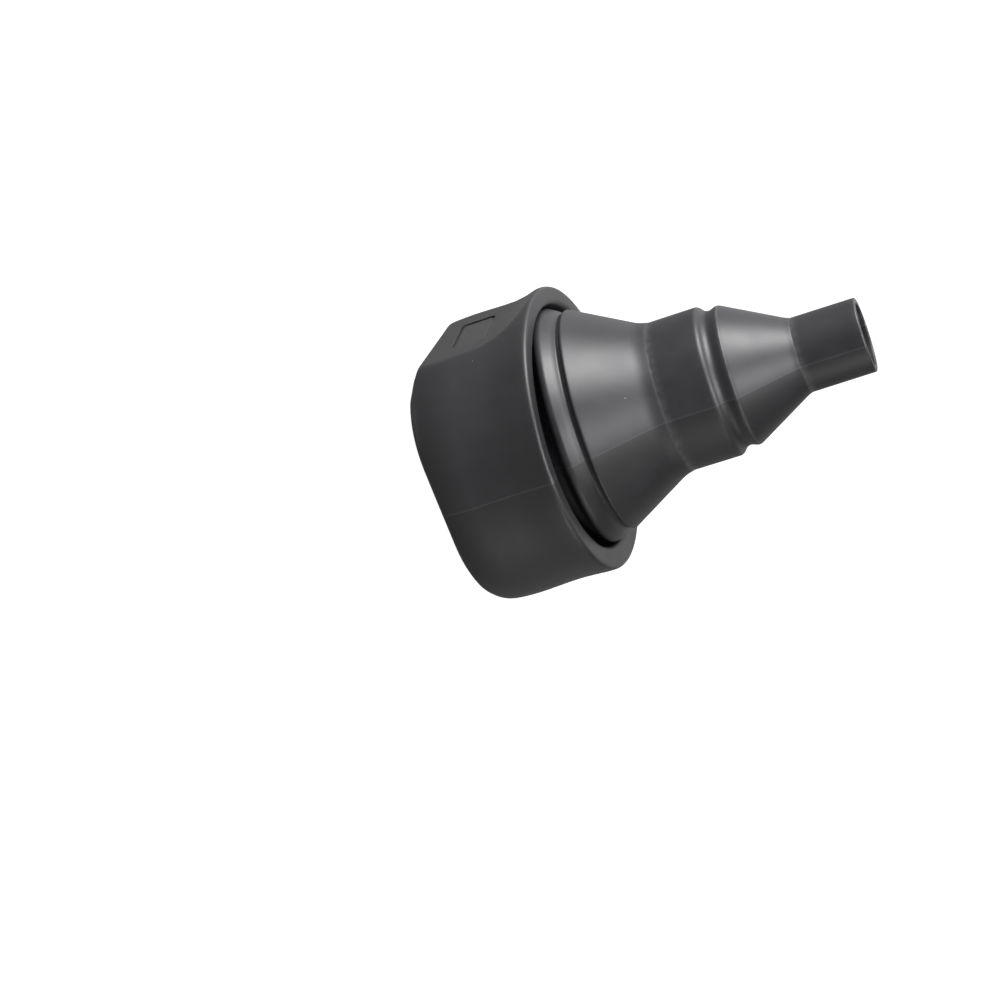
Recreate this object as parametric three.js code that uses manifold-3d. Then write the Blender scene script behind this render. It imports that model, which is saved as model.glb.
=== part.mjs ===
// Collapsible rubber snoot on its stretch-on collar, for a speedlight flash head.
// Millimetres. +Z is the optical axis, from the flash head towards the tip of the snoot, and the
// origin is the centre of the collar's rear rim. X runs along the wide side of the flash head, and
// the flat pad with the label recess faces -Y.

import * as THREE from 'three';
import Module from 'manifold-3d';
import { mergeVertices } from 'three/addons/utils/BufferGeometryUtils.js';

// ---------------------------------------------------------------- driving dimensions

const GAP = 0.3; // clearance between neighbouring mouldings and fold lines
const SEGMENTS = 64; // round resolution

// Collar: a drum that narrows at the back to the flash head.
const HEAD_X = 76; // flash head, wide side
const HEAD_Y = 57; // flash head, thickness
const HEAD_POWER = 4.6; // roundness of its corners, about 13 mm in radius
const SOCKET_DEPTH = 15; // how far the head goes in
const SOCKET_WALL = 3.6;
const COLLAR_DEPTH = 45.4; // rear rim to the lip's mean height
const DRUM_X = 51.5; // half width of the drum, drawn out by the wide side of the head
const DRUM_Y = 48.5;
const DRUM_DROP = 0.8; // the drum's wall is thinner on the pad's side
const LEAN = { x: 5, y: 0.6 }; // the soft drum leans on the head: back at +X and +Y, forward at -X and -Y
const LEAN_END_Z = 9; // sections from here forwards lean fully
const LIP_Z = COLLAR_DEPTH + 0.4;
const CUP_DEPTH = 14; // round seat for the snoot, behind the lip
const CUP_RADIUS = 41.4;
const PAD_Y = 42.2; // flat label pad, distance from the axis
const PAD_RUN_OUT = 6.5; // how far it rises to meet the lip
const PAD_BACK_Z = 7.2; // the pad ends here and slopes down to the rear rim
const LABEL = { x: 26, z: 12.6, depth: 0.6, corner: 2, toPadFront: 2.8 };
const GRIP_RIB = { height: 0.8, pitch: 4, count: 3 };

// Snoot, measured forwards from the lip plane of the collar.
const FLANGE_RADIUS = 41;
const FLANGE_THICKNESS = 3;
const RING_RADIUS = 40.6; // front edge of the base, level with the collar's lip
const BASE_LENGTH = 5.6;
const REAR_CONE = { r0: 38.2, r1: 25.6, z1: 31.5 };
const MIDDLE_RADIUS = 25.6;
const MIDDLE_SHOULDER_Z = 48.6;
const BAND_RADIUS = 23.9;
const BAND_END_Z = 55.2;
const FRONT_CONE_END_Z = 76.4;
const TIP_RADIUS = 12.7;
const TIP_END_Z = 98.4;
const WALL = 2; // tubes
const WEB = 1.6; // folding cones

const rubber = { color: 0x3a3a3f, roughness: 0.55, metalness: 0 };

// ---------------------------------------------------------------- helpers

const wasm = await Module();
wasm.setup();

function toSolid(geometry) {
  const bare = geometry.clone();
  bare.deleteAttribute('normal');
  bare.deleteAttribute('uv');
  const merged = mergeVertices(bare, 1e-4);
  return new wasm.Manifold(new wasm.Mesh({
    numProp: 3,
    vertProperties: new Float32Array(merged.attributes.position.array),
    triVerts: new Uint32Array(merged.index.array),
  }));
}

function toGeometry(solid) {
  const mesh = solid.getMesh();
  const geometry = new THREE.BufferGeometry();
  geometry.setAttribute('position', new THREE.BufferAttribute(mesh.vertProperties, 3));
  geometry.setIndex(new THREE.BufferAttribute(mesh.triVerts, 1));
  geometry.computeVertexNormals();
  return geometry;
}

// Turns a closed [radius, height] outline about the Z axis.
function turned(outline) {
  const points = [...outline, outline[0]].map(([radius, height]) => new THREE.Vector2(radius, height));
  return new THREE.LatheGeometry(points, SEGMENTS).rotateX(Math.PI / 2);
}

// Half width of an oval or rounded rectangle at an angle: power 2 is an ellipse, 6 a rounded rectangle.
function reach({ x, y, power }, angle) {
  const along = Math.abs(Math.cos(angle) / x) ** power;
  const across = Math.abs(Math.sin(angle) / y) ** power;
  return (along + across) ** (-1 / power);
}

// Skins a list of sections into one closed ring-shaped body; the last section joins the first.
function skinned(sections, shape) {
  const positions = [];
  const indices = [];
  sections.forEach((section) => {
    for (let i = 0; i < SEGMENTS; i += 1) {
      const angle = (i / SEGMENTS) * 2 * Math.PI;
      const radius = reach(section, angle);
      const point = new THREE.Vector3(radius * Math.cos(angle), radius * Math.sin(angle), section.z);
      positions.push(...shape(point, section, angle).toArray());
    }
  });
  for (let row = 0; row < sections.length; row += 1) {
    const next = (row + 1) % sections.length;
    for (let i = 0; i < SEGMENTS; i += 1) {
      const j = (i + 1) % SEGMENTS;
      const [a, b] = [row * SEGMENTS + i, row * SEGMENTS + j];
      const [c, d] = [next * SEGMENTS + i, next * SEGMENTS + j];
      indices.push(a, b, d, a, d, c);
    }
  }
  const geometry = new THREE.BufferGeometry();
  geometry.setAttribute('position', new THREE.Float32BufferAttribute(positions, 3));
  geometry.setIndex(indices);
  return geometry;
}

function part(name, geometry) {
  const mesh = new THREE.Mesh(geometry, new THREE.MeshStandardMaterial(rubber));
  mesh.name = name;
  return mesh;
}

// ---------------------------------------------------------------- collar

// Outside of the collar, from the rear rim to the lip.
function collarOutside() {
  const rimX = HEAD_X / 2 + SOCKET_WALL;
  const rimY = HEAD_Y / 2 + SOCKET_WALL;
  return [
    { z: 0, x: rimX, y: rimY, power: HEAD_POWER },
    { z: 1, x: rimX + 1.8, y: rimY + 4.6, power: 4 },
    { z: 2.4, x: DRUM_X - 5.4, y: DRUM_Y - 5, power: 2.8 },
    { z: 4.4, x: DRUM_X - 3.9, y: DRUM_Y - 2, power: 2.3 },
    { z: 6.7, x: DRUM_X - 2.7, y: DRUM_Y - 0.8, power: 2.1 },
    { z: LEAN_END_Z, x: DRUM_X - 1.5, y: DRUM_Y - 0.2, power: 2 },
    { z: 12.4, x: DRUM_X - 0.4, y: DRUM_Y, power: 2 },
    { z: 16.4, x: DRUM_X, y: DRUM_Y + 0.1, power: 2 },
    { z: 21.4, x: DRUM_X - 0.3, y: DRUM_Y, power: 2 },
    { z: 27.4, x: DRUM_X - 0.7, y: DRUM_Y - 0.3, power: 2 },
    { z: 32.4, x: DRUM_X - 1, y: DRUM_Y - 0.4, power: 2 },
    { z: 37.4, x: DRUM_X - 0.9, y: DRUM_Y - 0.2, power: 2 },
    { z: 41.9, x: DRUM_X - 0.7, y: DRUM_Y + 0.1, power: 2 },
    { z: LIP_Z - 0.8, x: DRUM_X - 0.9, y: DRUM_Y - 0.1, power: 2 },
    { z: LIP_Z, x: DRUM_X - 1.9, y: DRUM_Y - 1.1, power: 2 },
  ];
}

// Inside of the collar, from the lip back to the rear rim: lip, cup, seat, throat and socket.
function collarInside() {
  const seatZ = COLLAR_DEPTH - CUP_DEPTH;
  const cup = { x: CUP_RADIUS + 3, y: CUP_RADIUS, power: 2 };
  const throat = 39.2;
  const sections = [
    { z: LIP_Z, x: cup.x + 1.2, y: CUP_RADIUS + 1.6, power: 2 },
    { z: LIP_Z - 0.8, x: cup.x + 0.4, y: CUP_RADIUS + 0.6, power: 2 },
    { ...cup, z: LIP_Z - 4 },
    { ...cup, z: seatZ },
    { z: seatZ, x: throat, y: throat, power: 2 },
    { z: seatZ - 3, x: throat, y: throat, power: 2 },
    { z: SOCKET_DEPTH + 1, x: HEAD_X / 2 + 0.6, y: HEAD_Y / 2 + 1, power: 4 },
    { z: SOCKET_DEPTH, x: HEAD_X / 2, y: HEAD_Y / 2, power: HEAD_POWER },
  ];
  for (let i = GRIP_RIB.count - 1; i >= 0; i -= 1) {
    const z = 2 + GRIP_RIB.pitch * i;
    [[2, 0], [1.4, 1], [0.6, 1], [0, 0]].forEach(([dz, high]) => {
      const inset = high * GRIP_RIB.height;
      sections.push({ z: z + dz, x: HEAD_X / 2 - inset, y: HEAD_Y / 2 - inset, power: HEAD_POWER });
    });
  }
  sections.push({ z: 0, x: HEAD_X / 2, y: HEAD_Y / 2, power: HEAD_POWER });
  return sections;
}

// Leans the drum, and flattens the outside on the -Y side: a slope up from the rear rim, then the
// label pad, which runs out under the lip.
function collarShape(outsideCount, sections) {
  const padEnd = COLLAR_DEPTH - CUP_DEPTH;
  const rimY = HEAD_Y / 2 + SOCKET_WALL;
  const { smoothstep, mapLinear } = THREE.MathUtils;
  return (point, section, angle) => {
    const isOutside = sections.indexOf(section) < outsideCount;
    const lean = isOutside ? smoothstep(point.z, 0, LEAN_END_Z) : smoothstep(point.z, padEnd + 1, LIP_Z);
    if (isOutside) {
      point.y += DRUM_DROP * smoothstep(point.z, 0, LEAN_END_Z);
    }
    if (isOutside && point.y < 0) {
      const slope = mapLinear(Math.min(point.z, PAD_BACK_Z), 0, PAD_BACK_Z, rimY, PAD_Y);
      const towardsLip = Math.max(0, mapLinear(point.z, padEnd - 4, LIP_Z, 0, 1));
      const limit = slope + PAD_RUN_OUT * towardsLip ** 2;
      point.y = Math.max(point.y, -limit);
    }
    point.z -= lean * (LEAN.x * Math.cos(angle) + LEAN.y * Math.sin(angle));
    return point;
  };
}

// Rounded rectangle that sinks the label recess into the pad.
function labelCutter() {
  const { x, z, depth, corner, toPadFront } = LABEL;
  const outline = new THREE.Shape();
  const [halfX, halfZ] = [x / 2, z / 2];
  outline.moveTo(-halfX + corner, -halfZ);
  outline.lineTo(halfX - corner, -halfZ);
  outline.absarc(halfX - corner, -halfZ + corner, corner, -Math.PI / 2, 0);
  outline.lineTo(halfX, halfZ - corner);
  outline.absarc(halfX - corner, halfZ - corner, corner, 0, Math.PI / 2);
  outline.lineTo(-halfX + corner, halfZ);
  outline.absarc(-halfX + corner, halfZ - corner, corner, Math.PI / 2, Math.PI);
  outline.lineTo(-halfX, -halfZ + corner);
  outline.absarc(-halfX + corner, -halfZ + corner, corner, Math.PI, Math.PI * 1.5);
  const block = new THREE.ExtrudeGeometry(outline, { depth: 4, bevelEnabled: false, curveSegments: 4 });
  block.rotateX(Math.PI / 2);
  const labelZ = COLLAR_DEPTH - CUP_DEPTH - toPadFront - halfZ;
  return block.translate(0, -PAD_Y + depth, labelZ);
}

function mountCollar() {
  const outside = collarOutside();
  const sections = [...outside, ...collarInside()];
  const shell = toSolid(skinned(sections, collarShape(outside.length, sections)));
  return part('mount_collar', toGeometry(shell.subtract(toSolid(labelCutter()))));
}

// ---------------------------------------------------------------- snoot

// Base: a flange that sits in the collar's cup, a skirt, and the stepped ring at its front.
function snootBaseRing() {
  const back = -CUP_DEPTH + GAP;
  const front = BASE_LENGTH - GAP / 2;
  const skirt = RING_RADIUS - 3;
  return part('snoot_base_ring', turned([
    [skirt - 3, back],
    [FLANGE_RADIUS, back],
    [FLANGE_RADIUS, back + FLANGE_THICKNESS],
    [skirt, back + FLANGE_THICKNESS],
    [skirt, -3.2],
    [RING_RADIUS, -1.6],
    [RING_RADIUS, -0.4],
    [RING_RADIUS - 0.6, 0.2],
    [REAR_CONE.r0 + 0.4, 2.4],
    [REAR_CONE.r0 - 0.6, 4],
    [REAR_CONE.r0 - 0.6, front],
    [REAR_CONE.r0 - WALL - 0.6, front],
    [REAR_CONE.r0 - WALL - 0.6, 0],
    [skirt - 3, -2.4],
  ]));
}

// Rear web: folds inwards between the base and the middle tube.
function rearCone() {
  const { r0, r1, z1 } = REAR_CONE;
  const z0 = BASE_LENGTH + GAP / 2;
  const end = z1 - GAP / 2;
  return part('rear_cone', turned([
    [r0, z0],
    [r0 - 0.2, z0 + 1.2],
    [r1 + 3.4, end - 6],
    [r1 + 0.8, end - 2.4],
    [r1, end],
    [r1 - WEB, end],
    [r1 + 0.8 - WEB, end - 2.4],
    [r1 + 3.4 - WEB * 1.1, end - 6],
    [r0 - 0.2 - WEB * 1.2, z0 + 1.2],
    [r0 - WEB * 1.2, z0],
  ]));
}

// Middle tube, with the step and the grooved band where the front web begins.
function middleTube() {
  const back = REAR_CONE.z1 + GAP / 2;
  const front = BAND_END_Z - GAP / 2;
  return part('middle_tube', turned([
    [MIDDLE_RADIUS, back],
    [MIDDLE_RADIUS, MIDDLE_SHOULDER_Z - 0.9],
    [MIDDLE_RADIUS - 0.9, MIDDLE_SHOULDER_Z],
    [BAND_RADIUS, MIDDLE_SHOULDER_Z + 0.9],
    [BAND_RADIUS - 0.5, MIDDLE_SHOULDER_Z + 2.8],
    [BAND_RADIUS, front - 0.6],
    [BAND_RADIUS, front],
    [BAND_RADIUS - WALL, front],
    [BAND_RADIUS - WALL - 0.6, MIDDLE_SHOULDER_Z + 1],
    [MIDDLE_RADIUS - WALL, MIDDLE_SHOULDER_Z - 1.6],
    [MIDDLE_RADIUS - WALL, back],
  ]));
}

// Front web: folds inwards between the middle tube and the tip tube.
function frontCone() {
  const z0 = BAND_END_Z + GAP / 2;
  const end = FRONT_CONE_END_Z - GAP / 2;
  return part('front_cone', turned([
    [BAND_RADIUS, z0],
    [BAND_RADIUS - 0.4, z0 + 1],
    [TIP_RADIUS + 1.2, end - 2.6],
    [TIP_RADIUS, end],
    [TIP_RADIUS - WEB, end],
    [TIP_RADIUS + 1.2 - WEB * 1.1, end - 2.6],
    [BAND_RADIUS - 0.4 - WEB * 1.2, z0 + 1],
    [BAND_RADIUS - WEB * 1.2, z0],
  ]));
}

// Tip tube: the round light outlet with its flat front edge.
function tipTube() {
  const back = FRONT_CONE_END_Z + GAP / 2;
  const bore = TIP_RADIUS - WALL;
  return part('tip_tube', turned([
    [TIP_RADIUS, back],
    [TIP_RADIUS - 0.2, TIP_END_Z - 0.6],
    [TIP_RADIUS - 0.6, TIP_END_Z],
    [bore + 0.2, TIP_END_Z],
    [bore, TIP_END_Z - 0.6],
    [bore, back],
  ]));
}

// ---------------------------------------------------------------- assembly

const snoot = new THREE.Group();
snoot.position.z = COLLAR_DEPTH;
snoot.add(snootBaseRing(), rearCone(), middleTube(), frontCone(), tipTube());

const object = new THREE.Group();
object.add(mountCollar(), snoot);

export default object;
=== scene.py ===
"""Collapsible rubber snoot on its stretch-on collar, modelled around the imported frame.

The part stands on the collar's rear rim, +Z along the axis of the light. Sizes are in metres; mm() turns
millimetres into them. Heights named lip_* count from the lip plane of the collar, forwards.
"""

import math

import bmesh
import bpy
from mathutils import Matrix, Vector


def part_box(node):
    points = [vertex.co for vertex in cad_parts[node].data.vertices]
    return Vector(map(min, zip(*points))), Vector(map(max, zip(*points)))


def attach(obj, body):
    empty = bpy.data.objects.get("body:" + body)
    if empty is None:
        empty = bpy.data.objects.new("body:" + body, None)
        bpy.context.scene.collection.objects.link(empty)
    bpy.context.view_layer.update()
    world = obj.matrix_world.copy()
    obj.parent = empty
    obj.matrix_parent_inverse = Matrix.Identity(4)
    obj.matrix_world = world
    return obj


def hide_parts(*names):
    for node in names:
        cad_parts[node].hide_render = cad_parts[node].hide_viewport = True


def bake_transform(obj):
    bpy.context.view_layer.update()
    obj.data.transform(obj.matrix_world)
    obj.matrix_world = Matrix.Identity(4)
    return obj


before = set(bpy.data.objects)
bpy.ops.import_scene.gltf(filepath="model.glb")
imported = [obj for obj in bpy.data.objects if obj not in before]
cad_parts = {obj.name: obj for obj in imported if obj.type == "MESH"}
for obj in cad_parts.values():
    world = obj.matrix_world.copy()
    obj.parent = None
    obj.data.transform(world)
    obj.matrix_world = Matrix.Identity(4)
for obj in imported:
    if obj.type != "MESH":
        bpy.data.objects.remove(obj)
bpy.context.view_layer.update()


def mm(value):
    return value / 1000


# ---------------------------------------------------------------- sizes, from the frame

_, COLLAR_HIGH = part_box("mount_collar")
_, RING_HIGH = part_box("snoot_base_ring")
REAR_LOW, REAR_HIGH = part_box("rear_cone")
MIDDLE_LOW, MIDDLE_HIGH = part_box("middle_tube")
FRONT_LOW, FRONT_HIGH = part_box("front_cone")
TIP_LOW, TIP_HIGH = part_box("tip_tube")

LIP_Z = mm(45.4)
DRUM_X = COLLAR_HIGH.x
DRUM_Y = mm(48.5)
DRUM_DROP = mm(0.8)
REAR_FOLD_Z = (RING_HIGH.z + REAR_LOW.z) / 2
REAR_HINGE_Z = (REAR_HIGH.z + MIDDLE_LOW.z) / 2
FRONT_FOLD_Z = (MIDDLE_HIGH.z + FRONT_LOW.z) / 2
FRONT_HINGE_Z = (FRONT_HIGH.z + TIP_LOW.z) / 2
TIP_Z = TIP_HIGH.z

HEAD_X = mm(76)
HEAD_Y = mm(57)
HEAD_CORNER = mm(14)
SOCKET_DEPTH = mm(15)
SOCKET_WALL = mm(3.6)
CUP_DEPTH = mm(14)
CUP_RADIUS = mm(41.4)
THROAT_RADIUS = mm(39.2)
LEAN_X = math.atan(5 / 50)
LEAN_Y = math.atan(0.6 / 48)
LEAN_END_Z = mm(9)
COLLAR_LIP_Z = LIP_Z + mm(0.4)
PAD_Y = mm(42.2)
PAD_BACK_Z = mm(7.2)
PAD_RUN_OUT = mm(6.5)
PAD_FRONT_Z = LIP_Z - CUP_DEPTH

FLANGE_RADIUS = RING_HIGH.x
RING_RADIUS = mm(40.6)
CONE_RADIUS = REAR_HIGH.x
MIDDLE_RADIUS = MIDDLE_HIGH.x
BAND_RADIUS = FRONT_HIGH.x
TIP_RADIUS = TIP_HIGH.x
TUBE_WALL = mm(2)
WEB_WALL = mm(1.6)

ROUND = 144
FINE = mm(0.001)


# ---------------------------------------------------------------- camera

def add_camera():
    data = bpy.data.cameras.new("camera")
    data.lens = 86.4
    data.sensor_width = 36
    data.clip_start = 0.02
    data.clip_end = 60
    camera = bpy.data.objects.new("camera", data)
    bpy.context.scene.collection.objects.link(camera)
    camera.location = (mm(752.4), mm(-230.3), mm(211))
    camera.rotation_euler = (math.radians(49.49), math.radians(-67.62), math.radians(110.14))
    bpy.context.scene.camera = camera


# ---------------------------------------------------------------- modelling helpers

def edit(obj):
    """Opens a piece in edit mode with nothing selected."""
    bpy.ops.object.select_all(action="DESELECT")
    bpy.context.view_layer.objects.active = obj
    obj.select_set(True)
    bpy.ops.object.mode_set(mode="EDIT")
    bpy.ops.mesh.select_all(action="DESELECT")


def leave_edit():
    bpy.ops.object.mode_set(mode="OBJECT")


def pick(obj, kind, test):
    """Selects the vertices, edges or faces of the open piece that pass a test, and counts them."""
    bpy.ops.mesh.select_mode(type=kind)
    bpy.ops.mesh.select_all(action="DESELECT")
    mesh = bmesh.from_edit_mesh(obj.data)
    items = {"VERT": mesh.verts, "EDGE": mesh.edges, "FACE": mesh.faces}[kind]
    chosen = [item for item in items if test(item)]
    for item in chosen:
        item.select_set(True)
    mesh.select_flush_mode()
    bmesh.update_edit_mesh(obj.data)
    return len(chosen)


def picked_half_width(obj, axis):
    """Half the width of the selected vertices along one axis."""
    places = [v.co[axis] for v in bmesh.from_edit_mesh(obj.data).verts if v.select]
    return (max(places) - min(places)) / 2


def smoothstep(value, start, end):
    t = min(1, max(0, (value - start) / (end - start)))
    return t * t * (3 - 2 * t)


def soften(outline, steps=5):
    """Rounds the corners of a closed outline of (radius, height, corner radius) points."""
    points = [Vector((radius, height)) for radius, height, _ in outline]
    rounded = []
    for i, (_, _, corner) in enumerate(outline):
        before, here, after = points[i - 1], points[i], points[(i + 1) % len(points)]
        into, out = before - here, after - here
        reach = min(corner, into.length / 2.05, out.length / 2.05)
        if reach < FINE:
            rounded.append(here)
            continue
        start = here + into.normalized() * reach
        end = here + out.normalized() * reach
        for step in range(steps + 1):
            t = step / steps
            rounded.append(start * (1 - t) ** 2 + here * 2 * t * (1 - t) + end * t ** 2)
    return rounded


def spaced(points, longest):
    """Adds points so that no stretch of a closed outline is longer than the given length."""
    filled = []
    for i, here in enumerate(points):
        after = points[(i + 1) % len(points)]
        parts = max(1, math.ceil((after - here).length / longest))
        filled.extend(here.lerp(after, step / parts) for step in range(parts))
    return filled


def turn(name, outline, longest=mm(2)):
    """Turns a closed outline about the axis: a circle is extruded from ring to ring and closed."""
    rings = spaced(soften(outline), longest)
    first = rings[0]
    bpy.ops.mesh.primitive_circle_add(vertices=ROUND, radius=first.x, location=(0, 0, first.y))
    obj = bpy.context.object
    obj.name = obj.data.name = name
    bpy.ops.object.transform_apply(location=True, rotation=True, scale=True)
    edit(obj)
    bpy.ops.mesh.select_all(action="SELECT")
    for before, here in zip(rings, rings[1:] + rings[:1]):
        rise = here.y - before.y
        grow = here.x / before.x
        bpy.ops.mesh.extrude_edges_move(TRANSFORM_OT_translate={"value": (0, 0, rise)})
        bpy.ops.transform.resize(value=(grow, grow, 1), center_override=(0, 0, here.y))
    bpy.ops.mesh.select_all(action="SELECT")
    bpy.ops.mesh.remove_doubles(threshold=FINE)
    bpy.ops.mesh.normals_make_consistent(inside=False)
    leave_edit()
    return obj


def smooth(obj, angle=40):
    bpy.ops.object.select_all(action="DESELECT")
    bpy.context.view_layer.objects.active = obj
    obj.select_set(True)
    bpy.ops.object.shade_smooth_by_angle(angle=math.radians(angle))


# ---------------------------------------------------------------- collar

CORNER_STEPS = 8
SIDE_STEPS = {0: 32, 1: 20}  # steps along the straight sides, by axis
AROUND = 4 * CORNER_STEPS + 2 * sum(SIDE_STEPS.values())


def collar_outside():
    """Sections (height, half x, half y, roundness) of the outside, rear rim to lip."""
    rim_x, rim_y = HEAD_X / 2 + SOCKET_WALL, HEAD_Y / 2 + SOCKET_WALL
    return [
        (mm(0), rim_x - mm(0.8), rim_y - mm(0.8), 0),
        (mm(0.25), rim_x, rim_y + mm(0.6), 0.04),
        (mm(1), rim_x + mm(1.8), rim_y + mm(4.6), 0.24),
        (mm(2.4), DRUM_X - mm(5.4), DRUM_Y - mm(5), 0.6),
        (mm(4.4), DRUM_X - mm(3.9), DRUM_Y - mm(2), 0.85),
        (mm(6.7), DRUM_X - mm(2.7), DRUM_Y - mm(0.8), 0.95),
        (LEAN_END_Z, DRUM_X - mm(1.5), DRUM_Y - mm(0.2), 1),
        (mm(12.4), DRUM_X - mm(0.4), DRUM_Y, 1),
        (mm(16.4), DRUM_X, DRUM_Y + mm(0.1), 1),
        (mm(21.4), DRUM_X - mm(0.3), DRUM_Y, 1),
        (mm(27.4), DRUM_X - mm(0.7), DRUM_Y - mm(0.3), 1),
        (mm(32.4), DRUM_X - mm(1), DRUM_Y - mm(0.4), 1),
        (mm(37.4), DRUM_X - mm(0.9), DRUM_Y - mm(0.2), 1),
        (mm(41.9), DRUM_X - mm(0.7), DRUM_Y + mm(0.1), 1),
        (COLLAR_LIP_Z - mm(1.2), DRUM_X - mm(0.7), DRUM_Y + mm(0.1), 1),
        (COLLAR_LIP_Z - mm(0.6), DRUM_X - mm(0.9), DRUM_Y - mm(0.1), 1),
        (COLLAR_LIP_Z - mm(0.1), DRUM_X - mm(1.3), DRUM_Y - mm(0.5), 1),
        (COLLAR_LIP_Z, DRUM_X - mm(1.9), DRUM_Y - mm(1.1), 1),
    ]


def collar_inside():
    """Sections of the inside, rear rim to lip: socket with grip ribs, throat, seat, cup."""
    head_x, head_y = HEAD_X / 2, HEAD_Y / 2
    cup_x = CUP_RADIUS + mm(3)
    sections = [(mm(0), head_x + mm(0.6), head_y + mm(0.6), 0)]
    for rib in range(3):
        z = mm(2 + 4 * rib)
        for rise, height in ((-0.4, 0), (0.5, 0.8), (1.3, 0.8), (2.2, 0)):
            sections.append((z + mm(rise), head_x - mm(height), head_y - mm(height), 0))
    throat = THROAT_RADIUS
    return sections + [
        (SOCKET_DEPTH, head_x, head_y, 0),
        (SOCKET_DEPTH + mm(0.8), head_x - mm(0.4), head_y + mm(0.6), 0.06),
        (mm(20), mm(38.2), mm(32.6), 0.3),
        (mm(25), mm(38.8), mm(37), 0.7),
        (mm(28.6), throat, throat, 1),
        (PAD_FRONT_Z - mm(0.3), throat, throat, 1),
        (PAD_FRONT_Z, throat + mm(0.4), throat + mm(0.4), 1),
        (PAD_FRONT_Z + mm(0.1), cup_x - mm(1), CUP_RADIUS - mm(1), 1),
        (PAD_FRONT_Z + mm(1), cup_x, CUP_RADIUS, 1),
        (mm(36), cup_x, CUP_RADIUS, 1),
        (mm(40), cup_x, CUP_RADIUS, 1),
        (mm(43), cup_x, CUP_RADIUS, 1),
        (COLLAR_LIP_Z - mm(1), cup_x, CUP_RADIUS, 1),
        (COLLAR_LIP_Z - mm(0.5), cup_x + mm(0.3), CUP_RADIUS + mm(0.5), 1),
        (COLLAR_LIP_Z - mm(0.1), cup_x + mm(0.9), CUP_RADIUS + mm(1.2), 1),
        (COLLAR_LIP_Z, cup_x + mm(1.2), CUP_RADIUS + mm(1.6), 1),
    ]


def between(sections, longest=mm(2.2)):
    """Adds sections on a smooth curve through the given ones, so that none are far apart."""
    filled = []
    for i, here in enumerate(sections[:-1]):
        after = sections[i + 1]
        before = sections[max(i - 1, 0)]
        beyond = sections[min(i + 2, len(sections) - 1)]
        parts = max(1, math.ceil((after[0] - here[0]) / longest))
        for step in range(parts):
            t = step / parts
            filled.append(tuple(
                0.5 * (2 * b + (c - a) * t + (2 * a - 5 * b + 4 * c - d) * t ** 2
                       + (3 * b - a - 3 * c + d) * t ** 3)
                for a, b, c, d in zip(before, here, after, beyond)))
    return filled + [sections[-1]]


def skin(name, sections, corner):
    """Extrudes a rounded rectangle from section to section, rounding it off towards an oval."""
    z, half_x, half_y, _ = sections[0]
    bpy.ops.mesh.primitive_plane_add(size=2, location=(0, 0, z))
    obj = bpy.context.object
    obj.name = obj.data.name = name
    bpy.ops.object.transform_apply(location=True, rotation=True, scale=True)
    edit(obj)
    bpy.ops.mesh.select_all(action="SELECT")
    bpy.ops.transform.resize(value=(half_x, half_y, 1), center_override=(0, 0, z))
    bpy.ops.mesh.bevel(offset=corner, segments=CORNER_STEPS, affect="VERTICES")
    bpy.ops.mesh.delete(type="ONLY_FACE")
    for axis, steps in SIDE_STEPS.items():
        pick(obj, "EDGE", lambda e: abs(e.verts[0].co[axis] - e.verts[1].co[axis]) > mm(15))
        bpy.ops.mesh.subdivide(number_cuts=steps - 1)
    bpy.ops.mesh.select_all(action="SELECT")
    for before, (z, half_x, half_y, roundness) in zip(sections, sections[1:]):
        bpy.ops.mesh.extrude_edges_move(TRANSFORM_OT_translate={"value": (0, 0, z - before[0])})
        if before[3] < min(roundness, 1):
            bpy.ops.transform.tosphere(value=min(1, (roundness - before[3]) / (1 - before[3])))
        grow_x = half_x / picked_half_width(obj, 0)
        grow_y = half_y / picked_half_width(obj, 1)
        bpy.ops.transform.resize(value=(grow_x, grow_y, 1), center_override=(0, 0, z))
    return obj


def lean(obj, sections, start, end):
    """Leans the open piece's rings, not at all at the start and fully at the end."""
    for ring, (z, *_) in enumerate(sections):
        share = smoothstep(z, start, end)
        if share == 0:
            continue
        pick(obj, "VERT", lambda v: v.index // AROUND == ring)
        centre = (0, 0, z)
        bpy.ops.transform.rotate(value=-LEAN_X * share, orient_axis="Y", center_override=centre)
        bpy.ops.transform.rotate(value=LEAN_Y * share, orient_axis="X", center_override=centre)


def flatten_pad(obj, sections):
    """Shifts the drum, and presses its -Y side onto the slope and the label pad."""
    rim_y = HEAD_Y / 2 + SOCKET_WALL
    for ring, (z, *_) in enumerate(sections):
        pick(obj, "VERT", lambda v: v.index // AROUND == ring)
        bpy.ops.transform.translate(value=(0, DRUM_DROP * smoothstep(z, 0, LEAN_END_Z), 0))
        slope = rim_y + (PAD_Y - rim_y) * min(z / PAD_BACK_Z, 1)
        run_out_start = PAD_FRONT_Z - mm(4)
        towards_lip = max(0, (z - run_out_start) / (COLLAR_LIP_Z - run_out_start))
        limit = slope + PAD_RUN_OUT * towards_lip ** 2
        beyond = pick(obj, "VERT", lambda v: v.index // AROUND == ring and v.co.y < -limit)
        if beyond:
            bpy.ops.transform.resize(value=(1, 0, 1), center_override=(0, -limit, z))


def apply_modifier(obj, kind, **settings):
    bpy.ops.object.select_all(action="DESELECT")
    bpy.context.view_layer.objects.active = obj
    obj.select_set(True)
    modifier = obj.modifiers.new(kind.lower(), kind)
    for key, value in settings.items():
        setattr(modifier, key, value)
    bpy.ops.object.modifier_apply(modifier=modifier.name)


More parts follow.
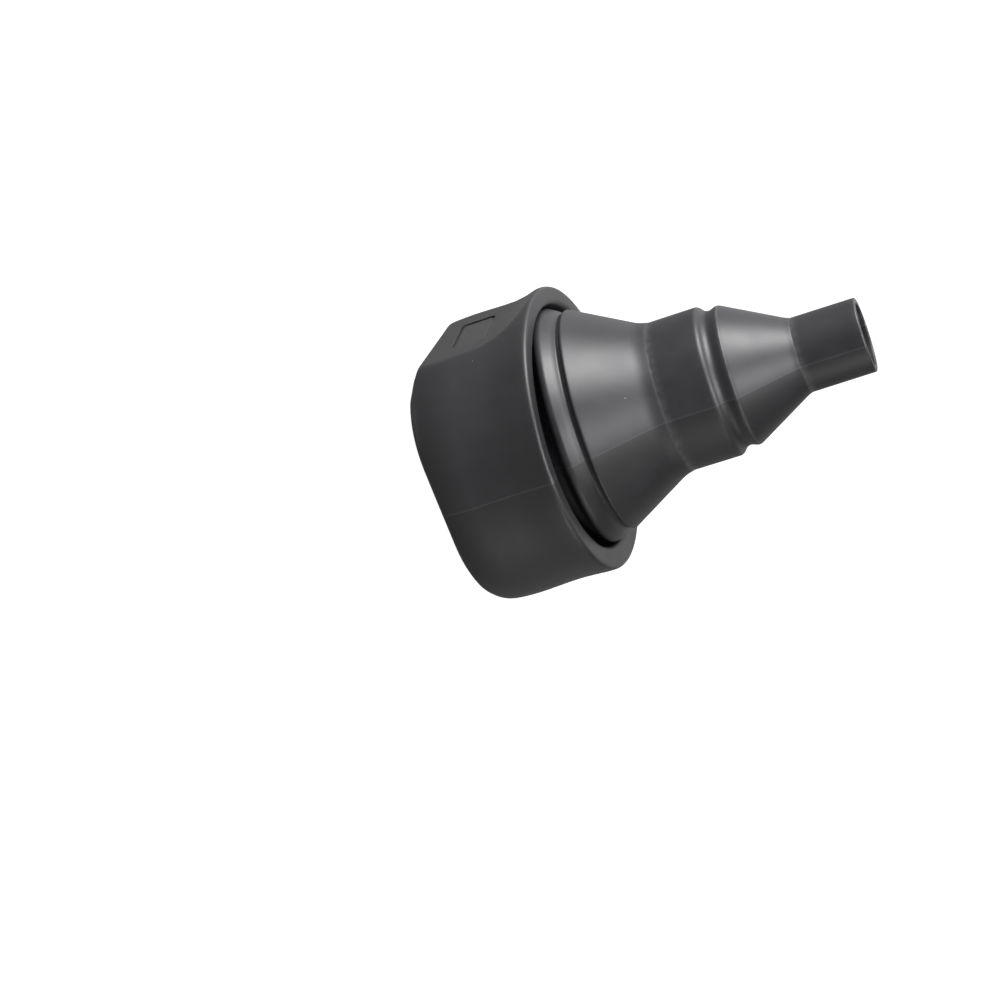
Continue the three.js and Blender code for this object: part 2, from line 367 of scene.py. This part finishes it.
def label_cutter():
    """Block that sinks the label recess, leaving a plain raised plate inside a narrow groove."""
    half_x, half_z = mm(13), mm(6.3)
    centre = (0, -PAD_Y - mm(1.4), PAD_FRONT_Z - mm(2.8) - half_z)
    bpy.ops.mesh.primitive_cube_add(size=2, location=centre)
    obj = bpy.context.object
    obj.name = "label_cutter"
    bpy.ops.object.transform_apply(location=True, rotation=True, scale=True)
    edit(obj)
    bpy.ops.mesh.select_all(action="SELECT")
    bpy.ops.transform.resize(value=(half_x, mm(2), half_z), center_override=centre)
    pick(obj, "EDGE", lambda e: abs(e.verts[0].co.y - e.verts[1].co.y) > mm(2))
    bpy.ops.mesh.bevel(offset=mm(2), segments=6)
    pick(obj, "FACE", lambda f: f.normal.y > 0.9)
    bpy.ops.transform.resize(value=(0.985, 1, 0.97), center_override=centre)
    bpy.ops.mesh.inset(thickness=mm(0.9))
    bpy.ops.mesh.inset(thickness=mm(0.25), depth=-mm(0.3))
    leave_edit()
    return obj


def mount_collar():
    """Collar: outside and inside skins, joined at the lip and the rear rim."""
    outside, inside = between(collar_outside()), between(collar_inside())
    outer = skin("collar", outside, HEAD_CORNER + SOCKET_WALL)
    flatten_pad(outer, outside)
    lean(outer, outside, 0, LEAN_END_Z)
    leave_edit()
    inner = skin("collar_inside", inside, HEAD_CORNER)
    lean(inner, inside, PAD_FRONT_Z + mm(1.2), COLLAR_LIP_Z)
    # The inside skin faces the other way, so that the bridges run straight across the rims.
    bpy.ops.mesh.select_all(action="SELECT")
    bpy.ops.mesh.flip_normals()
    leave_edit()
    bpy.ops.object.select_all(action="DESELECT")
    inner.select_set(True)
    outer.select_set(True)
    bpy.context.view_layer.objects.active = outer
    bpy.ops.object.join()
    edit(outer)
    for at_lip in (False, True):
        pick(outer, "EDGE", lambda e: e.is_boundary and (e.verts[0].co.z > SOCKET_DEPTH) == at_lip)
        bpy.ops.mesh.bridge_edge_loops()
    bpy.ops.mesh.select_all(action="SELECT")
    bpy.ops.mesh.normals_make_consistent(inside=False)
    leave_edit()
    apply_modifier(outer, "SUBSURF", levels=1, render_levels=1)
    cutter = label_cutter()
    apply_modifier(outer, "BOOLEAN", object=cutter, operation="DIFFERENCE", solver="EXACT")
    bpy.data.objects.remove(cutter)
    return outer


# ---------------------------------------------------------------- snoot

def snoot_base_ring():
    """Base: a flange in the collar's cup, a skirt, and the ring and groove at its front."""
    back = LIP_Z - CUP_DEPTH + mm(0.3)
    lip = LIP_Z
    skirt = RING_RADIUS - mm(3)
    inner = CONE_RADIUS - mm(2.6)
    return turn("base_ring", [
        (skirt - mm(3), back, mm(0.5)),
        (FLANGE_RADIUS, back, mm(0.6)),
        (FLANGE_RADIUS, back + mm(3), mm(0.8)),
        (skirt, back + mm(3), mm(1.2)),
        (skirt, lip - mm(3.4), mm(1)),
        (RING_RADIUS, lip - mm(1.8), mm(1.2)),
        (RING_RADIUS, lip + mm(0.1), mm(0.8)),
        (CONE_RADIUS + mm(0.5), lip + mm(3.2), mm(1.2)),
        (CONE_RADIUS - mm(1), lip + mm(4.6), mm(0.8)),
        (CONE_RADIUS - mm(0.6), REAR_FOLD_Z, 0),
        (inner, REAR_FOLD_Z, 0),
        (inner, lip, mm(2)),
        (skirt - mm(3), lip - mm(2.4), mm(2)),
    ])


def rear_cone():
    """Rear web: a rounded bead, then a cone that runs smoothly into the middle tube."""
    z0, z1 = REAR_FOLD_Z, REAR_HINGE_Z
    return turn("rear_web", [
        (CONE_RADIUS - mm(0.6), z0, 0),
        (CONE_RADIUS + mm(0.1), z0 + mm(0.9), mm(0.8)),
        (MIDDLE_RADIUS + mm(0.9), z1 - mm(3.6), mm(7)),
        (MIDDLE_RADIUS, z1, 0),
        (MIDDLE_RADIUS - WEB_WALL, z1, 0),
        (MIDDLE_RADIUS + mm(0.9) - WEB_WALL, z1 - mm(3.6), mm(7)),
        (CONE_RADIUS - mm(1.8), z0 + mm(0.9), mm(0.8)),
        (CONE_RADIUS - mm(2.6), z0, 0),
    ], longest=mm(0.8))


def middle_tube():
    """Middle tube, its rounded shoulder, and the hollow band where the front web begins."""
    z0, z1 = REAR_HINGE_Z, FRONT_FOLD_Z
    shoulder = LIP_Z + mm(48.6)
    return turn("middle_tube_skin", [
        (MIDDLE_RADIUS, z0, 0),
        (MIDDLE_RADIUS, shoulder, mm(1.2)),
        (BAND_RADIUS - mm(0.2), shoulder + mm(1.4), mm(1)),
        (BAND_RADIUS - mm(0.9), shoulder + mm(3.2), mm(1.6)),
        (BAND_RADIUS, z1 - mm(0.9), mm(0.7)),
        (BAND_RADIUS, z1, 0),
        (BAND_RADIUS - TUBE_WALL, z1, 0),
        (BAND_RADIUS - TUBE_WALL - mm(0.7), shoulder + mm(1), mm(2)),
        (MIDDLE_RADIUS - TUBE_WALL, shoulder - mm(2), mm(2)),
        (MIDDLE_RADIUS - TUBE_WALL, z0, 0),
    ])


def front_cone():
    """Front web: a cone from the band to the tip tube."""
    z0, z1 = FRONT_FOLD_Z, FRONT_HINGE_Z
    return turn("front_web", [
        (BAND_RADIUS, z0, 0),
        (BAND_RADIUS - mm(0.4), z0 + mm(0.9), mm(0.7)),
        (TIP_RADIUS + mm(0.6), z1 - mm(1.6), mm(3.5)),
        (TIP_RADIUS, z1, 0),
        (TIP_RADIUS - WEB_WALL, z1, 0),
        (TIP_RADIUS + mm(0.6) - WEB_WALL, z1 - mm(1.6), mm(3.5)),
        (BAND_RADIUS - mm(2.4), z0 + mm(0.9), mm(0.7)),
        (BAND_RADIUS - mm(2), z0, 0),
    ], longest=mm(0.8))


def tip_tube():
    """Tip tube: the light outlet, with a rounded rim."""
    z0 = FRONT_HINGE_Z
    bore = TIP_RADIUS - TUBE_WALL
    return turn("tip_tube_skin", [
        (TIP_RADIUS, z0, 0),
        (TIP_RADIUS - mm(0.1), TIP_Z, mm(0.7)),
        (bore, TIP_Z, mm(0.6)),
        (bore, z0, 0),
    ])


# ---------------------------------------------------------------- shader groups

def add_node(tree, kind, **settings):
    node = tree.nodes.new("ShaderNode" + kind)
    for key, value in settings.items():
        setattr(node, key, value)
    return node


def join(tree, source, target):
    tree.links.new(source, target)


def new_group(name, inputs, outputs):
    """Makes a shader group; inputs are (label, kind, value), outputs (label, kind)."""
    group = bpy.data.node_groups.new(name, "ShaderNodeTree")
    for label, kind, value in inputs:
        socket = group.interface.new_socket(label, in_out="INPUT", socket_type="NodeSocket" + kind)
        if value is not None:
            socket.default_value = value
    for label, kind in outputs:
        group.interface.new_socket(label, in_out="OUTPUT", socket_type="NodeSocket" + kind)
    return group, group.nodes.new("NodeGroupInput"), group.nodes.new("NodeGroupOutput")


def place_group(tree, group, **values):
    node = tree.nodes.new("ShaderNodeGroup")
    node.node_tree = group
    for label, value in values.items():
        node.inputs[label.replace("_", " ")].default_value = value
    return node


def noise_in(group, source, scale, detail=4.0, roughness=0.5):
    """Noise on the group's Place input, at a scale that may be a number or a socket."""
    noise = add_node(group, "TexNoise", normalize=True)
    noise.inputs["Detail"].default_value = detail
    noise.inputs["Roughness"].default_value = roughness
    join(group, source.outputs["Place"], noise.inputs["Vector"])
    if isinstance(scale, str):
        join(group, source.outputs[scale], noise.inputs["Scale"])
    else:
        noise.inputs["Scale"].default_value = scale
    return noise.outputs["Fac"]


def remap(group, value, from_min, from_max, to_min=0.0, to_max=1.0):
    node = add_node(group, "MapRange", clamp=True)
    join(group, value, node.inputs["Value"])
    for label, number in (("From Min", from_min), ("From Max", from_max),
                          ("To Min", to_min), ("To Max", to_max)):
        node.inputs[label].default_value = number
    return node.outputs["Result"]


def maths(group, operation, first, second):
    node = add_node(group, "Math", operation=operation)
    for socket, value in zip(node.inputs, (first, second)):
        if isinstance(value, (int, float)):
            socket.default_value = value
        else:
            join(group, value, socket)
    return node.outputs["Value"]


def make_bloom_group():
    """Bloom: broad cloudy patches, as on handled rubber."""
    group, source, sink = new_group(
        "rubber_bloom",
        [("Place", "Vector", None), ("Scale", "Float", 30.0)],
        [("Mask", "Float")])
    broad = noise_in(group, source, "Scale", detail=3.0)
    streaks = noise_in(group, source, 160.0, detail=5.0, roughness=0.6)
    broad = remap(group, broad, 0.36, 0.66)
    streaks = remap(group, streaks, 0.35, 0.7)
    mixed = maths(group, "ADD", maths(group, "MULTIPLY", broad, 0.72),
                  maths(group, "MULTIPLY", streaks, 0.28))
    join(group, mixed, sink.inputs["Mask"])
    return group


def make_skin_group():
    """Moulded skin: the fine tooth of the mould and a faint unevenness of the soft wall."""
    group, source, sink = new_group(
        "moulded_skin",
        [("Place", "Vector", None), ("Tooth", "Float", 2600.0), ("Wave", "Float", 120.0)],
        [("Height", "Float")])
    tooth = noise_in(group, source, "Tooth", detail=2.0)
    wave = noise_in(group, source, "Wave", detail=2.0)
    height = maths(group, "ADD", maths(group, "MULTIPLY", tooth, 0.12),
                   maths(group, "MULTIPLY", wave, 0.88))
    join(group, height, sink.inputs["Height"])
    return group


def make_dust_group():
    """Dust: sparse pale specks, most of them tiny."""
    group, source, sink = new_group(
        "dust_specks",
        [("Place", "Vector", None), ("Scale", "Float", 260.0), ("Share", "Float", 0.1)],
        [("Mask", "Float")])
    cells = add_node(group, "TexVoronoi", feature="F1")
    join(group, source.outputs["Place"], cells.inputs["Vector"])
    join(group, source.outputs["Scale"], cells.inputs["Scale"])
    split = add_node(group, "SeparateColor")
    join(group, cells.outputs["Color"], split.inputs["Color"])
    chosen = maths(group, "LESS_THAN", split.outputs["Red"], source.outputs["Share"])
    size = maths(group, "MULTIPLY", split.outputs["Green"], 0.09)
    speck = maths(group, "LESS_THAN", cells.outputs["Distance"], size)
    spot = maths(group, "MULTIPLY", chosen, speck)
    strength = maths(group, "MULTIPLY", spot, maths(group, "ADD", split.outputs["Blue"], 0.25))
    join(group, strength, sink.inputs["Mask"])
    return group


def make_rub_group():
    """Rub: where the sharp outer edges have gone paler with handling."""
    group, source, sink = new_group(
        "edge_rub",
        [("Place", "Vector", None), ("Pointiness", "Float", 0.5), ("Start", "Float", 0.515),
         ("End", "Float", 0.58)],
        [("Mask", "Float")])
    edge = add_node(group, "MapRange", clamp=True)
    join(group, source.outputs["Pointiness"], edge.inputs["Value"])
    join(group, source.outputs["Start"], edge.inputs["From Min"])
    join(group, source.outputs["End"], edge.inputs["From Max"])
    patchy = remap(group, noise_in(group, source, 420.0, detail=4.0), 0.35, 0.6, 0.35, 1.0)
    join(group, maths(group, "MULTIPLY", edge.outputs["Result"], patchy), sink.inputs["Mask"])
    return group


def make_halves_group():
    """Mould halves: a mask of the half on the label's side of the parting plane, which sets the halves'
    gloss and is used to paint the other half darker as painted shade, and a thin line along the plane,
    used for a paler painted highlight.
    """
    group, source, sink = new_group(
        "mould_halves_and_painted_light",
        [("Place", "Vector", None)],
        [("Mask", "Float"), ("Line", "Float")])
    split = add_node(group, "SeparateXYZ")
    join(group, source.outputs["Place"], split.inputs["Vector"])
    side = remap(group, split.outputs["Y"], mm(0.1), mm(-0.1))
    from_plane = maths(group, "ABSOLUTE", split.outputs["Y"], 0.0)
    line = remap(group, from_plane, mm(0.3), mm(0.1))
    join(group, side, sink.inputs["Mask"])
    join(group, line, sink.inputs["Line"])
    return group


# ---------------------------------------------------------------- materials

# Paler colour for edge rub, which is wear, and for the thin line along the parting plane, which is a
# painted highlight.
WORN_AND_HIGHLIGHT_COLOUR = (0.14, 0.14, 0.145)
DUST_COLOUR = (0.42, 0.41, 0.39)
PAPER_GLOW = 0.2


def mix_colour(tree, factor, first, second):
    """Mixes two colours, each a tuple or a socket, by a factor socket."""
    node = add_node(tree, "Mix", data_type="RGBA")
    join(tree, factor, node.inputs[0])
    for socket, value in ((node.inputs[6], first), (node.inputs[7], second)):
        if isinstance(value, tuple):
            socket.default_value = (*value, 1)
        else:
            join(tree, value, socket)
    return node.outputs[2]


def rubber(name, groups, dark, pale, painted_shade_factor, roughness, half_gloss):
    """Satin moulded rubber: bloom, a paler parting line that is a painted highlight, edge rub, dust and
    a fine moulded skin; the half away from the label is painted darker, as painted shade.
    """
    material = bpy.data.materials.new(name)
    material.use_nodes = True
    tree = material.node_tree
    shader = tree.nodes["Principled BSDF"]
    place = add_node(tree, "TexCoord").outputs["Object"]
    geometry = add_node(tree, "NewGeometry")

    nodes = {key: place_group(tree, group) for key, group in groups.items()}
    for node in nodes.values():
        join(tree, place, node.inputs["Place"])
    join(tree, geometry.outputs["Pointiness"], nodes["rub"].inputs["Pointiness"])
    bloom = nodes["bloom"].outputs["Mask"]
    line = nodes["halves"].outputs["Line"]
    side = nodes["halves"].outputs["Mask"]

    near_body = mix_colour(tree, bloom, dark, pale)
    # The half away from the label is painted darker by a factor, as painted shade.
    painted_shade_body = mix_colour(tree, bloom, tuple(value * painted_shade_factor for value in dark),
                          tuple(value * painted_shade_factor for value in pale))
    body = mix_colour(tree, side, painted_shade_body, near_body)
    # Edge rub is wear; the thin paler line along the parting plane is a painted highlight.
    rub_and_seam_highlight = maths(tree, "ADD", maths(tree, "MULTIPLY", nodes["rub"].outputs["Mask"], 0.3),
                  maths(tree, "MULTIPLY", line, 0.12))
    worn_and_painted_light = mix_colour(tree, rub_and_seam_highlight, body, WORN_AND_HIGHLIGHT_COLOUR)
    dust_and_painted_light = mix_colour(tree, nodes["dust"].outputs["Mask"], worn_and_painted_light, DUST_COLOUR)
    join(tree, dust_and_painted_light, shader.inputs["Base Color"])

    gloss = maths(tree, "MULTIPLY", side, -half_gloss)
    rough = remap(tree, bloom, 0.0, 1.0, roughness - 0.04, roughness + 0.06)
    rough = maths(tree, "ADD", maths(tree, "ADD", rough, gloss),
                  maths(tree, "MULTIPLY", nodes["dust"].outputs["Mask"], 0.3))
    join(tree, rough, shader.inputs["Roughness"])

    bump = add_node(tree, "Bump")
    bump.inputs["Strength"].default_value = 0.5
    bump.inputs["Distance"].default_value = mm(0.12)
    join(tree, nodes["skin"].outputs["Height"], bump.inputs["Height"])
    join(tree, bump.outputs["Normal"], shader.inputs["Normal"])
    shader.inputs["Specular IOR Level"].default_value = 0.5
    return material


def floor_paper():
    """Seamless studio paper: blown out to white where it is seen, and only a weak bounce light."""
    material = bpy.data.materials.new("floor_paper")
    material.use_nodes = True
    tree = material.node_tree
    shader = tree.nodes["Principled BSDF"]
    place = add_node(tree, "TexCoord").outputs["Object"]
    noise = add_node(tree, "TexNoise")
    noise.inputs["Scale"].default_value = 60
    join(tree, place, noise.inputs["Vector"])
    colour = mix_colour(tree, noise.outputs["Fac"], (0.1, 0.1, 0.1), (0.12, 0.12, 0.12))
    join(tree, colour, shader.inputs["Base Color"])
    shader.inputs["Roughness"].default_value = 0.9
    path = add_node(tree, "LightPath")
    bounce = (PAPER_GLOW, PAPER_GLOW, PAPER_GLOW)
    glow = mix_colour(tree, path.outputs["Is Camera Ray"], bounce, (1.0, 1.0, 1.0))
    join(tree, glow, shader.inputs["Emission Color"])
    shader.inputs["Emission Strength"].default_value = 1.0
    return material


# ---------------------------------------------------------------- stage

ROOM_DARK = 0.015
ROOM_BRIGHT = 1.1
ROOM_SEEN = 1.05
LIGHT_AIM = Vector((0, 0, mm(60)))
# Name, offset from the aim (right, up, towards the camera), size and power.
SOFTBOXES = (
    ("top_softbox", (0.34, 0.84, 0.42), (0.6, 0.5), 21),
    ("side_softbox", (0.72, 0.05, 0.66), (0.36, 0.6), 11),
    ("low_softbox", (0.3, -0.75, 0.3), (0.45, 0.3), 2.4),
)


def add_floor():
    bpy.ops.mesh.primitive_plane_add(size=40, location=(0, 0, 0))
    floor = bpy.context.object
    floor.name = "floor"
    floor.data.materials.append(floor_paper())


def camera_axes():
    """The camera's right, up and forward directions."""
    turn_of_camera = bpy.context.scene.camera.rotation_euler.to_matrix()
    right = turn_of_camera @ Vector((1, 0, 0))
    up = turn_of_camera @ Vector((0, 1, 0))
    forward = turn_of_camera @ Vector((0, 0, -1))
    return right, up, forward


def add_softbox(name, offset, size, power, aim):
    """A rectangular softbox at an offset (right, up, towards the camera) from its aim, in metres."""
    right, up, forward = camera_axes()
    data = bpy.data.lights.new(name, "AREA")
    data.shape = "RECTANGLE"
    data.size, data.size_y = size
    data.energy = power
    light = bpy.data.objects.new(name, data)
    bpy.context.scene.collection.objects.link(light)
    place = aim + right * offset[0] + up * offset[1] - forward * offset[2]
    light.location = place
    light.rotation_euler = (place - aim).to_track_quat("Z", "Y").to_euler()


def add_lights():
    """A white room, darker behind the camera, and three softboxes."""
    scene = bpy.context.scene
    world = bpy.data.worlds.new("world")
    scene.world = world
    world.use_nodes = True
    tree = world.node_tree
    background = tree.nodes["Background"]
    right, up, forward = camera_axes()
    direction = add_node(tree, "TexCoord").outputs["Generated"]
    facing = add_node(tree, "VectorMath", operation="DOT_PRODUCT")
    facing.inputs[1].default_value = forward * 0.75 + up * 0.6 + right * 0.2
    join(tree, direction, facing.inputs[0])
    room = remap(tree, facing.outputs["Value"], 0.0, 0.8, ROOM_DARK, ROOM_BRIGHT)
    path = add_node(tree, "LightPath")
    seen = add_node(tree, "Mix", data_type="FLOAT")
    join(tree, path.outputs["Is Camera Ray"], seen.inputs[0])
    join(tree, room, seen.inputs[2])
    seen.inputs[3].default_value = ROOM_SEEN
    join(tree, seen.outputs[0], background.inputs["Strength"])
    background.inputs["Color"].default_value = (1, 1, 1, 1)
    for name, offset, size, power in SOFTBOXES:
        add_softbox(name, offset, size, power, LIGHT_AIM)


# ---------------------------------------------------------------- the model

bpy.context.scene.view_settings.view_transform = "Standard"
add_camera()
add_floor()
add_lights()

shader_groups = {
    "bloom": make_bloom_group(),
    "skin": make_skin_group(),
    "dust": make_dust_group(),
    "rub": make_rub_group(),
    "halves": make_halves_group(),
}
# In both rubbers the half away from the label is painted darker by a factor, as painted shade.
collar_rubber = rubber(
    "collar_rubber", shader_groups, dark=(0.005, 0.0051, 0.0062), pale=(0.011, 0.0111, 0.0128),
    painted_shade_factor=0.85, roughness=0.52, half_gloss=0.02)
snoot_rubber = rubber(
    "snoot_rubber", shader_groups, dark=(0.006, 0.0061, 0.0078), pale=(0.016, 0.0161, 0.0194),
    painted_shade_factor=0.5, roughness=0.54, half_gloss=0.07)


def place_piece(piece, material, node, body=None):
    smooth(piece)
    piece.data.materials.clear()
    piece.data.materials.append(material)
    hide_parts(node)
    if body:
        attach(piece, body)
    return piece


place_piece(mount_collar(), collar_rubber, "mount_collar", "collar")
place_piece(snoot_base_ring(), snoot_rubber, "snoot_base_ring", "snoot_base")
place_piece(middle_tube(), snoot_rubber, "middle_tube", "middle")
place_piece(tip_tube(), snoot_rubber, "tip_tube", "tip")
rear = place_piece(rear_cone(), snoot_rubber, "rear_cone")
front = place_piece(front_cone(), snoot_rubber, "front_cone")
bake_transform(rear)
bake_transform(front)
